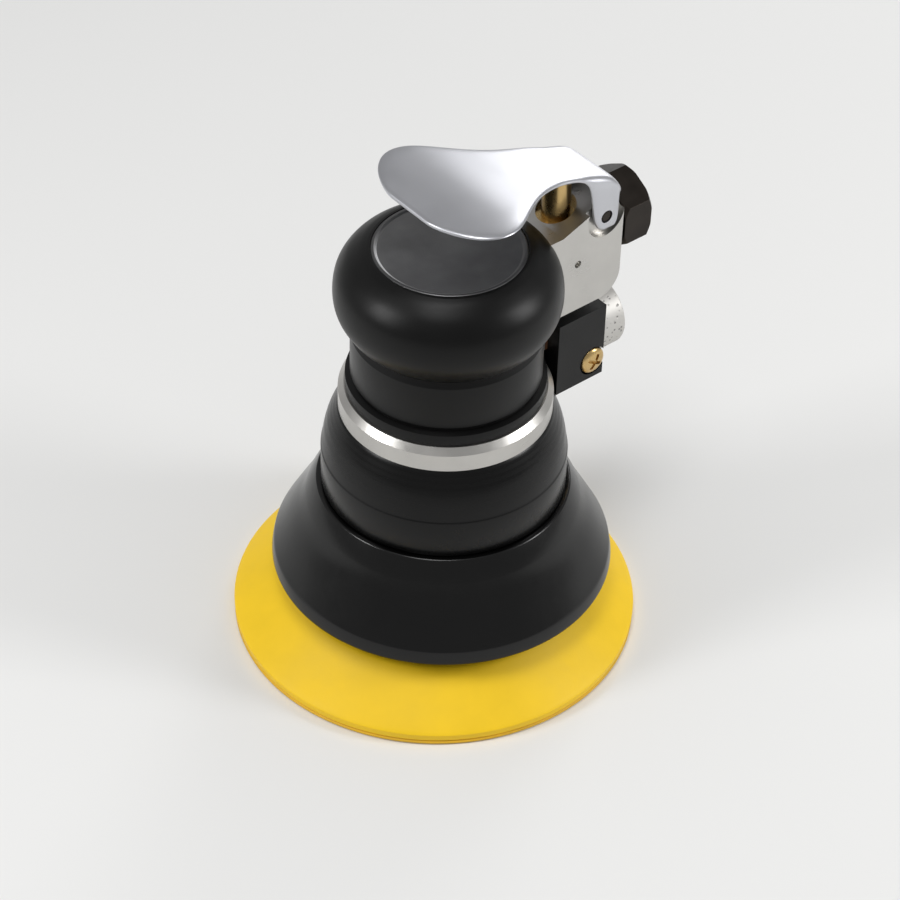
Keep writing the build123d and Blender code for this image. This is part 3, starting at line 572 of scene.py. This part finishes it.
class SANDER_OT_shells(Operator):
    """Turn the shroud, the lower housing, the grip and the top cap"""

    bl_idname = "sander.shells"
    bl_label = "Turned shells"

    def execute(self, context):
        sizes = context.scene.sander_sizes
        self.shroud(sizes)
        self.lower_housing()
        self.grip(sizes)
        self.cap()
        return {"FINISHED"}

    def shroud(self, sizes):
        """Skirt with an upright lip, a hollowed cone, a crease and a narrow top band."""
        low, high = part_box("shroud")
        lip = high.y
        wall = sizes.shroud_wall
        neck = box_radius("lower_housing")
        inside = neck - 1.55 * MM
        crease = high.z - 6.2 * MM
        lip_top = low.z + sizes.shroud_lip
        outer_cone = through([
            (lip - 1.2 * MM, lip_top),
            (neck + 10.3 * MM, low.z + 12.6 * MM),
            (neck + 6.6 * MM, low.z + 19.2 * MM),
            (neck + 4.5 * MM, crease),
        ])
        inner_cone = [(r - wall, z - 1.4 * MM) for r, z in reversed(outer_cone)]
        profile = [
            (lip - wall, low.z),
            (lip - 0.4 * MM, low.z),
            (lip, low.z + 0.8 * MM),
            (lip - 0.7 * MM, lip_top - 0.9 * MM),
            *outer_cone,
            (neck + 1.4 * MM, high.z),
            (inside, high.z),
            (inside, high.z - 6.0 * MM),
            *inner_cone,
        ]
        piece = lathe(profile)
        round_edges(piece, 0.5 * MM, 3, 14)
        finish_piece(piece, "shroud_skirt", "housing", "black_rubber", "shroud")

    def lower_housing(self):
        """Collar with a plain band, a faint step and a shoulder that closes in to the ring."""
        low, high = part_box("lower_housing")
        outer = high.y
        ring = box_radius("palm_grip") - 1.4 * MM
        shroud_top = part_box("shroud")[1].z
        shoulder = through([
            (outer - 0.25 * MM, shroud_top + 13.4 * MM),
            (outer - 0.9 * MM, shroud_top + 18.0 * MM),
            (outer - 2.3 * MM, shroud_top + 23.0 * MM),
            (ring + 0.1 * MM, high.z - 0.6 * MM),
        ])
        profile = [
            (outer - 4.2 * MM, low.z),
            (outer - 1.6 * MM, low.z),
            (outer - 1.6 * MM, shroud_top + 0.5 * MM),
            (outer, shroud_top + 0.5 * MM),
            (outer, shroud_top + 13.0 * MM),
            *shoulder,
            (ring - 0.5 * MM, high.z),
            (ring - 5.4 * MM, high.z),
            (ring - 5.4 * MM, low.z + 12.5 * MM),
            (outer - 4.2 * MM, low.z + 12.5 * MM),
        ]
        piece = lathe(profile)
        round_edges(piece, 0.3 * MM, 2, 22)
        finish_piece(piece, "lower_housing_shell", "housing", "black_anodised", "lower_housing")

    def grip(self, sizes):
        """Neck with a foot band and groove, a waist, and a full rim that rolls in to the cap."""
        low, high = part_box("palm_grip")
        rim = high.y
        inside = rim - 7.8 * MM
        neck = rim - 5.0 * MM
        cap = box_radius("top_cap")
        foot = rim - 3.55 * MM
        waist = neck - sizes.grip_waist
        rolled = through([
            (waist, low.z + 21.8 * MM),
            (rim - 3.1 * MM, low.z + 25.0 * MM),
            (rim - 0.7 * MM, low.z + 29.4 * MM),
            (rim, low.z + 34.6 * MM),
            (rim - 0.9 * MM, low.z + 40.0 * MM),
            (rim - 3.6 * MM, low.z + 44.4 * MM),
            (rim - 7.4 * MM, low.z + 47.6 * MM),
            (cap + 0.9 * MM, high.z - 0.1 * MM),
        ])
        profile = [
            (inside, low.z),
            (foot, low.z),
            (foot, low.z + 3.8 * MM),
            (neck - 0.7 * MM, low.z + 4.2 * MM),
            (neck - 0.7 * MM, low.z + 5.3 * MM),
            (neck, low.z + 5.7 * MM),
            (neck, low.z + 20.0 * MM),
            *rolled,
            (cap + 0.08 * MM, high.z),
            (cap + 0.08 * MM, high.z - 1.6 * MM),
            (inside, high.z - 1.6 * MM),
        ]
        piece = lathe(profile)
        past = rim + 10 * MM
        half = ARM_HALF_WIDTH + SLOT_CLEARANCE
        arm_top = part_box("throttle_sleeve")[1].z
        arm_low = arm_top - ARM_HEIGHT - SLOT_CLEARANCE
        cut(piece, cutter_box((0, -half, arm_low), (past, half, arm_top + SLOT_CLEARANCE)))
        half = BOSS_HALF_WIDTH + SLOT_CLEARANCE
        boss_top = low.z + BOSS_HEIGHT + SLOT_CLEARANCE
        cut(piece, cutter_box((0, -half, low.z - 1 * MM), (past, half, boss_top)))
        round_edges(piece, 0.45 * MM, 3, 24)
        finish_piece(piece, "palm_grip_cover", "housing", "soft_grip", "palm_grip")

    def cap(self):
        """Disc with a bright raised rim and a shallow dish."""
        low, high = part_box("top_cap")
        edge = high.y
        profile = [
            (TINY, low.z),
            (edge, low.z),
            (edge, high.z - 0.2 * MM),
            (edge - 0.3 * MM, high.z),
            (edge - 1.0 * MM, high.z),
            (edge - 1.7 * MM, high.z - 0.5 * MM),
            (TINY, high.z - 0.5 * MM),
        ]
        piece = lathe(profile)
        round_edges(piece, 0.12 * MM, 2, 20)
        finish_piece(piece, "top_cap_disc", "housing", "satin_steel", "top_cap")


class SANDER_OT_pad(Operator):
    """Mould the foam pad and its facing"""

    bl_idname = "sander.pad"
    bl_label = "Sanding pad"

    def execute(self, context):
        sizes = context.scene.sander_sizes
        low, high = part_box("pad_foam")
        plate_low, plate_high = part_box("pad_plate")
        centre = (low.x + high.x) / 2
        radius = high.y
        plate = plate_high.y
        rim = sizes.foam_round
        flank = through([
            (radius, low.z + 2.6 * MM),
            (radius - 1.4 * MM, low.z + 3.9 * MM),
            (radius - 8.5 * MM, low.z + 9.0 * MM),
            (radius - 15.4 * MM, high.z - 0.9 * MM),
            (radius - 17.4 * MM, high.z),
        ], 5)
        profile = [
            (TINY, low.z),
            (radius - rim, low.z),
            (radius - 0.2 * MM, low.z + 0.5 * rim),
            *flank,
            (plate + 0.4 * MM, high.z),
            (plate, high.z - 0.4 * MM),
            (plate, plate_low.z),
            (TINY, plate_low.z),
        ]
        foam = lathe(profile, centre)
        finish_piece(foam, "pad_foam_body", "pad", "yellow_foam", "pad_foam")
        low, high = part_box("pad_face")
        profile = [
            (TINY, low.z),
            (radius - 0.5 * MM, low.z),
            (radius - 0.1 * MM, low.z + 0.4 * MM),
            (radius - 0.1 * MM, high.z - 0.3 * MM),
            (radius - 0.5 * MM, high.z),
            (TINY, high.z),
        ]
        facing = lathe(profile, centre)
        finish_piece(facing, "pad_facing", "pad", "vinyl", "pad_face")
        return {"FINISHED"}


class SANDER_OT_metalwork(Operator):
    """Round the edges of the milled and moulded pieces"""

    bl_idname = "sander.metalwork"
    bl_label = "Milled and moulded pieces"

    def execute(self, context):
        edge = context.scene.sander_sizes.edge_round
        jobs = [
            ("motor_housing", edge, "housing", "machined_aluminium"),
            ("exhaust_block", edge, "housing", "black_plastic"),
            ("inlet_bushing", edge * 1.3, "housing", "dark_steel"),
            ("exhaust_muffler", edge * 1.6, "housing", "sintered_metal"),
        ]
        for node, width, body, slot in jobs:
            piece = softened(node, width)
            finish_piece(piece, node + "_finished", body, slot, node)
            apply_modifier(piece, "WEIGHTED_NORMAL", weight=100, keep_sharp=True)
        self.spring()
        return {"FINISHED"}

    def spring(self):
        """Coil under the plunger, copied with a mesh of its own; the real coil shortens as the plunger
        goes down, which this function does not do.
        """
        coil = softened("throttle_spring", 0)
        finish_piece(coil, "throttle_spring_coil", "housing", "spring_steel", "throttle_spring")
        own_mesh(coil)


class SANDER_OT_screw(Operator):
    """Form the exhaust screw's domed head with its cross recess"""

    bl_idname = "sander.screw"
    bl_label = "Exhaust screw"

    DOME_FLATNESS = 0.36
    RECESS_HALF_SIZE = Vector((2.7 * MM, 1.0 * MM, 0.55 * MM))
    RECESS_DEPTH_CENTRE = 1.5 * MM
    RECESS_TURNS = (30, 120)
    SHANK_RADIUS = 1.85 * MM
    SHANK_LENGTH = 11.0 * MM
    SHANK_MIDDLE = 5.8 * MM

    def execute(self, context):
        low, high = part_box("exhaust_screw")
        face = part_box("exhaust_block")[0].y
        centre = Vector(((low.x + high.x) / 2, face + 0.4 * MM, (low.z + high.z) / 2))
        radius = (high.x - low.x) / 2 - 0.05 * MM
        clear_selection()
        bpy.ops.mesh.primitive_uv_sphere_add(
            segments=56, ring_count=28, radius=radius, location=centre, rotation=(radians(90), 0, 0)
        )
        dome = bpy.context.object
        dome.scale.z = self.DOME_FLATNESS
        bpy.ops.object.transform_apply(location=True, rotation=True, scale=True)
        at_recess = Matrix.Translation(centre - Vector((0, self.RECESS_DEPTH_CENTRE, 0)))
        for angle in self.RECESS_TURNS:
            slot = cutter_box(-self.RECESS_HALF_SIZE, self.RECESS_HALF_SIZE)
            slot.matrix_world = at_recess @ Matrix.Rotation(radians(angle), 4, "Y")
            cut(dome, slot)
        behind = centre + Vector((0, self.SHANK_MIDDLE, 0))
        shank = cutter_rod(self.SHANK_RADIUS, behind, self.SHANK_LENGTH)
        clear_selection()
        shank.select_set(True)
        dome.select_set(True)
        bpy.context.view_layer.objects.active = dome
        bpy.ops.object.join()
        finish_piece(dome, "exhaust_screw_domed", "housing", "brass", "exhaust_screw")
        return {"FINISHED"}


class SANDER_OT_lever(Operator):
    """Press the palm lever from sheet: a broad blade, a neck and two ears round the pin"""

    bl_idname = "sander.lever"
    bl_label = "Throttle lever"

    def execute(self, context):
        sizes = context.scene.sander_sizes
        pin_low, pin_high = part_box("lever_pin")
        pin = (pin_low + pin_high) / 2
        rows = self.rows(sizes, pin)
        blade = self.blade(rows)
        self.fold_ears(blade, sizes, pin)
        apply_modifier(blade, "SOLIDIFY", thickness=sizes.lever_thickness, offset=0)
        apply_modifier(blade, "SUBSURF", levels=3, render_levels=3)
        cut(blade, cutter_rod(PIN_HOLE_RADIUS, pin, 40 * MM))
        finish_piece(blade, "throttle_lever_pressing", "lever", "polished_steel", "throttle_lever")
        return {"FINISHED"}

    def rows(self, sizes, pin):
        """Place, height and half width of each row across the sheet."""
        broad = sizes.lever_half_width
        neck = sizes.neck_half_width
        tip = pin.x - 65.2 * MM
        top = pin.z + 24.8 * MM
        return [
            (tip, top, broad * 0.34),
            (tip + 1.8 * MM, top, broad * 0.57),
            (tip + 5.2 * MM, top, broad * 0.8),
            (tip + 10.0 * MM, top, broad * 0.96),
            (tip + 15.0 * MM, top - 0.2 * MM, broad),
            (tip + 20.0 * MM, top - 0.6 * MM, broad * 0.95),
            (tip + 25.0 * MM, top - 1.3 * MM, broad * 0.82),
            (tip + 30.0 * MM, top - 2.2 * MM, broad * 0.68),
            (tip + 36.0 * MM, top - 3.3 * MM, broad * 0.54),
            (tip + 42.5 * MM, top - 4.7 * MM, neck * 1.14),
            (tip + 49.0 * MM, top - 6.1 * MM, neck * 1.03),
            (pin.x - 7.6 * MM, pin.z + 15.6 * MM, neck),
            (pin.x - 3.0 * MM, pin.z + 14.2 * MM, neck),
            (pin.x + 1.0 * MM, pin.z + 12.6 * MM, neck),
            (pin.x + 3.9 * MM, pin.z + 10.2 * MM, neck),
            (pin.x + 5.3 * MM, pin.z + 7.4 * MM, neck),
            (pin.x + 5.9 * MM, pin.z + 5.0 * MM, neck),
        ]

    def blade(self, rows):
        """Sheet drawn out row by row from one edge."""
        clear_selection()
        x, z, half = rows[0]
        bpy.ops.mesh.primitive_plane_add(size=2 * half, location=(x - half, 0, z))
        piece = bpy.context.object
        bpy.ops.object.transform_apply(location=True)
        bpy.ops.object.mode_set(mode="EDIT")
        mesh = bmesh.from_edit_mesh(piece.data)
        bmesh.ops.delete(mesh, geom=[v for v in mesh.verts if v.co.x < x - half], context="VERTS")
        for item in list(mesh.verts) + list(mesh.edges):
            item.select = True
        bmesh.update_edit_mesh(piece.data)
        bpy.ops.mesh.subdivide(number_cuts=5)
        for (x0, z0, w0), (x1, z1, w1) in zip(rows, rows[1:]):
            shift = (x1 - x0, 0, z1 - z0)
            bpy.ops.mesh.extrude_region_move(TRANSFORM_OT_translate={"value": shift})
            bpy.ops.transform.resize(value=(1, w1 / w0, 1))
        bpy.ops.object.mode_set(mode="OBJECT")
        return piece

    def fold_ears(self, blade, sizes, pin):
        """Draw the neck's side edges down past the pin, and narrow them to a round end."""
        neck = sizes.neck_half_width
        for side in (-1, 1):
            only(blade)
            bpy.ops.object.mode_set(mode="EDIT")
            bpy.ops.mesh.select_mode(type="EDGE")
            bpy.ops.mesh.select_all(action="DESELECT")
            mesh = bmesh.from_edit_mesh(blade.data)
            for edge in mesh.edges:
                ends = [v.co for v in edge.verts]
                at_side = all(abs(c.y * side - neck) < 0.1 * MM for c in ends)
                near_pin = all(pin.x - 8 * MM < c.x < pin.x + 5.5 * MM for c in ends)
                edge.select = at_side and near_pin
            mesh.select_flush_mode()
            bmesh.update_edit_mesh(blade.data)
            drops = [(3.4, 0.86), (4.2, 0.92), (4.2, 0.93), (2.9, 0.82), (1.6, 0.55)]
            for index, (drop, narrow) in enumerate(drops):
                slide = 0.42 * MM
                bpy.ops.mesh.extrude_region_move(
                    TRANSFORM_OT_translate={"value": (slide, 0, -drop * MM)}
                )
                flat = 0.45 if index < 3 else 0.1
                bpy.ops.transform.resize(value=(narrow, 1, flat))
            bpy.ops.object.mode_set(mode="OBJECT")


class SANDER_OT_finishes(Operator):
    """Give every carried-over node its material"""

    bl_idname = "sander.finishes"
    bl_label = "Finishes"

    def execute(self, context):
        for entry in frame["record"]["subparts"]:
            paint(frame["nodes"][entry["node"]], entry["material_slot"])
        return {"FINISHED"}


class SANDER_OT_stage(Operator):
    """Set the pale floor, the soft lights and the camera"""

    bl_idname = "sander.stage"
    bl_label = "Stage"

    TURN = radians(-40)
    DISTANCE = 0.9
    AIM_HEIGHT = 1.5 * MM
    ELEVATION = radians(44)
    YAW, PITCH, ROLL = radians(0.16), radians(41.15), radians(1.68)
    LENS = 114.2
    FLOOR_SIZE = 6
    FLOOR_DROP = 0.2 * MM
    ROOM_STRENGTH = 0.4
    LIT_HEIGHT = 70 * MM
    LIGHTS = (
        ("soft_box_left", (-0.8, -0.3, 0.6), 0.42, 3.6),
        ("soft_box_right", (0.85, -0.1, 0.5), 0.36, 3.4),
        ("soft_box_back", (0.35, 0.95, 0.4), 0.6, 2.4),
        ("soft_box_top", (-0.1, -0.25, 1.15), 0.5, 3.6),
    )

    def execute(self, context):
        self.floor()
        turn = Matrix.Rotation(self.TURN, 3, "Z")
        self.camera(turn)
        self.lights(turn)
        return {"FINISHED"}

    def floor(self):
        """Pale matt floor."""
        clear_selection()
        bpy.ops.mesh.primitive_plane_add(size=self.FLOOR_SIZE, location=(0, 0, -self.FLOOR_DROP))
        ground = bpy.context.object
        ground.name = "floor"
        material, tree, shader = empty_material("pale_floor")
        shader.inputs["Base Color"].default_value = linear("#E6E6E5")
        shader.inputs["Roughness"].default_value = 0.9
        ground.data.materials.append(material)

    def camera(self, turn):
        """Long lens that looks down at the tool from in front."""
        along = self.DISTANCE * cos(self.ELEVATION)
        above = self.DISTANCE * sin(self.ELEVATION) + self.AIM_HEIGHT
        place = Vector((0, -along, above))
        yaw, pitch, roll = self.YAW, self.PITCH, self.ROLL
        ahead = Vector((sin(yaw) * cos(pitch), cos(yaw) * cos(pitch), -sin(pitch)))
        right = Vector((cos(yaw), -sin(yaw), 0))
        up = right.cross(ahead)
        rolled_right = cos(roll) * right + sin(roll) * up
        rolled_up = cos(roll) * up - sin(roll) * right
        basis = turn @ Matrix((rolled_right, rolled_up, -ahead)).transposed()
        data = bpy.data.cameras.new("camera")
        data.lens = self.LENS
        data.clip_end = 20
        camera = bpy.data.objects.new("camera", data)
        bpy.context.scene.collection.objects.link(camera)
        camera.matrix_world = Matrix.Translation(turn @ place) @ basis.to_4x4()
        bpy.context.scene.camera = camera

    def lights(self, turn):
        """Soft boxes at each side, behind and above, and a pale room."""
        for name, place, size, power in self.LIGHTS:
            data = bpy.data.lights.new(name, "AREA")
            data.shape = "RECTANGLE"
            data.size, data.size_y = size * 0.6, size
            data.energy = power
            light = bpy.data.objects.new(name, data)
            bpy.context.scene.collection.objects.link(light)
            spot = turn @ Vector(place)
            aim = Vector((0, 0, self.LIT_HEIGHT)) - spot
            facing = aim.to_track_quat("-Z", "Y").to_matrix().to_4x4()
            light.matrix_world = Matrix.Translation(spot) @ facing
        world = bpy.data.worlds.new("pale_room")
        world.use_nodes = True
        background = world.node_tree.nodes["Background"]
        background.inputs["Color"].default_value = (1, 1, 1, 1)
        background.inputs["Strength"].default_value = self.ROOM_STRENGTH
        bpy.context.scene.world = world
        bpy.context.scene.view_settings.view_transform = "Standard"


class SANDER_PT_panel(Panel):
    """Sander's operators and settings"""

    bl_idname = "SANDER_PT_panel"
    bl_label = "Air palm sander"
    bl_space_type = "VIEW_3D"
    bl_region_type = "UI"
    bl_category = "Sander"

    def draw(self, context):
        for operator in OPERATORS:
            self.layout.operator(operator.bl_idname)
        for group in (context.scene.sander_sizes, context.scene.sander_colours):
            for name in group.__annotations__:
                self.layout.prop(group, name)


OPERATORS = (
    SANDER_OT_finishes,
    SANDER_OT_shells,
    SANDER_OT_pad,
    SANDER_OT_metalwork,
    SANDER_OT_screw,
    SANDER_OT_lever,
    SANDER_OT_stage,
)
CLASSES = (SanderSizes, SanderColours) + OPERATORS + (SANDER_PT_panel,)


def register():
    for item in CLASSES:
        bpy.utils.register_class(item)
    bpy.types.Scene.sander_sizes = PointerProperty(type=SanderSizes)
    bpy.types.Scene.sander_colours = PointerProperty(type=SanderColours)


def unregister():
    del bpy.types.Scene.sander_colours
    del bpy.types.Scene.sander_sizes
    for item in reversed(CLASSES):
        bpy.utils.unregister_class(item)


def main():
    """Run every operator."""
    register()
    bpy.ops.sander.finishes()
    bpy.ops.sander.shells()
    bpy.ops.sander.pad()
    bpy.ops.sander.metalwork()
    bpy.ops.sander.screw()
    bpy.ops.sander.lever()
    bpy.ops.sander.stage()
    clear_selection()


if __name__ == "__main__":
    main()
